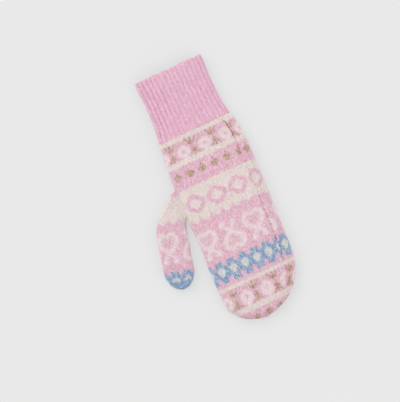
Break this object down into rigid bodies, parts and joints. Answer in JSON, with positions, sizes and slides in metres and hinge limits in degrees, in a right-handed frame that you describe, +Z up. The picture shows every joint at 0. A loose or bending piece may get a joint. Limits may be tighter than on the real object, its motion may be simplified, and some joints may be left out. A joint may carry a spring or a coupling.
{
  "type": "knitted winter mitten",
  "caption": "Hand-knitted wool mitten with a ribbed cuff, a rounded fingertip and a side thumb, lying flat and empty, open at the wrist.",
  "frame": {"origin": "on the floor, under the middle of the lying mitten", "axes": "+Y from the cast-on edge to the fingertip, +X towards the thumb's side, +Z up off the floor"},
  "size_m": [0.132, 0.267, 0.017],
  "materials": {
    "cuff_wool": "ribbed pink wool",
    "hand_wool": "stranded colour-work wool in pinks, cream, brown and blue",
    "thumb_wool": "stranded colour-work wool in pinks, cream and blue"
  },
  "bodies": {
    "root": {"cuff": "cuff_wool", "hand": "hand_wool", "thumb": "thumb_wool"}
  },
  "joints": []
}
